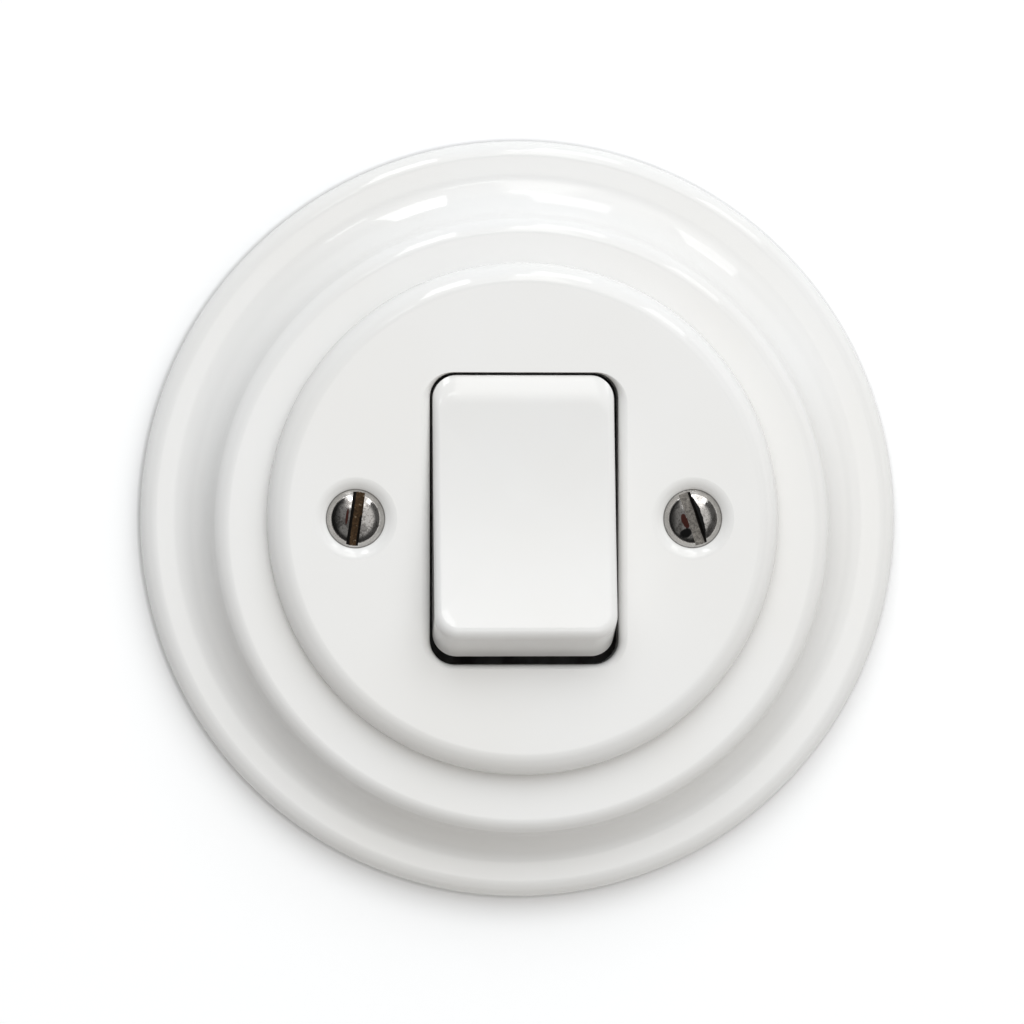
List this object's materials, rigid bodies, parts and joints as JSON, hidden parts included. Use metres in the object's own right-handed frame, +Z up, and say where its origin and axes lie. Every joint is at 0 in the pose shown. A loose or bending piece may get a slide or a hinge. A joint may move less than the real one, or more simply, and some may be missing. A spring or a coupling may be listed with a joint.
{
  "type": "porcelain rocker light switch",
  "caption": "Round glazed porcelain wall switch: stepped frame ring, centre plate with slotted cover screws, and a rocking key over a two-way contact mechanism.",
  "frame": {"origin": "on the wall plane, at the centre of the two box-screw slots, behind the middle of the centre plate", "axes": "X to the right, Y into the wall, Z up; the viewer looks along +Y"},
  "size_m": [0.1, 0.0421, 0.1],
  "materials": {
    "porcelain": "clear glaze over white porcelain",
    "phenolic": "moulded black phenolic",
    "nickel": "nickel plated, worn",
    "zinc_steel": "bright zinc plated",
    "steel": "ground",
    "brass": "rolled or turned",
    "silver": "contact silver",
    "fibre_board": "pressed fibre board"
  },
  "bodies": {
    "switch_base": {"frame_ring": "porcelain", "centre_plate": "porcelain", "cover_screws": "nickel", "cover_bushes": "brass", "yoke": "zinc_steel", "rocker_pins": "steel", "insulating_plate": "fibre_board", "housing": "phenolic", "housing_screws": "zinc_steel", "common_contact": "brass", "upper_contact": "brass", "lower_contact": "brass", "fixed_tips": "silver", "seesaw_pin": "steel", "terminal_screws": "zinc_steel", "terminal_saddles": "brass"},
    "rocker": {"rocker_key": "porcelain", "rocker_carrier": "phenolic", "plunger_spring": "steel"},
    "sprung_plunger": {"plunger": "brass"},
    "seesaw": {"contact_seesaw": "brass", "moving_tips": "silver"}
  },
  "joints": [
    {"name": "key_rock", "type": "hinge", "parent": "switch_base", "child": "rocker", "pos_m": [0, -0.00903, 0], "axis": [1, 0, 0], "range_deg": [0, 22]},
    {"name": "plunger_slide", "type": "slide", "parent": "rocker", "child": "sprung_plunger", "axis": [0, 0.9816, -0.1908], "range_m": [-0.0005, 0.0005], "stiffness_N_per_m": 250, "deforming": ["plunger_spring"]},
    {"name": "seesaw_tilt", "type": "hinge", "parent": "switch_base", "child": "seesaw", "pos_m": [0, 0.007, 0], "axis": [1, 0, 0], "range_deg": [-14.2, 0.2]}
  ],
  "couplings": [
    {"joint": "seesaw_tilt", "follows": "key_rock", "ratio": -0.63636}
  ]
}
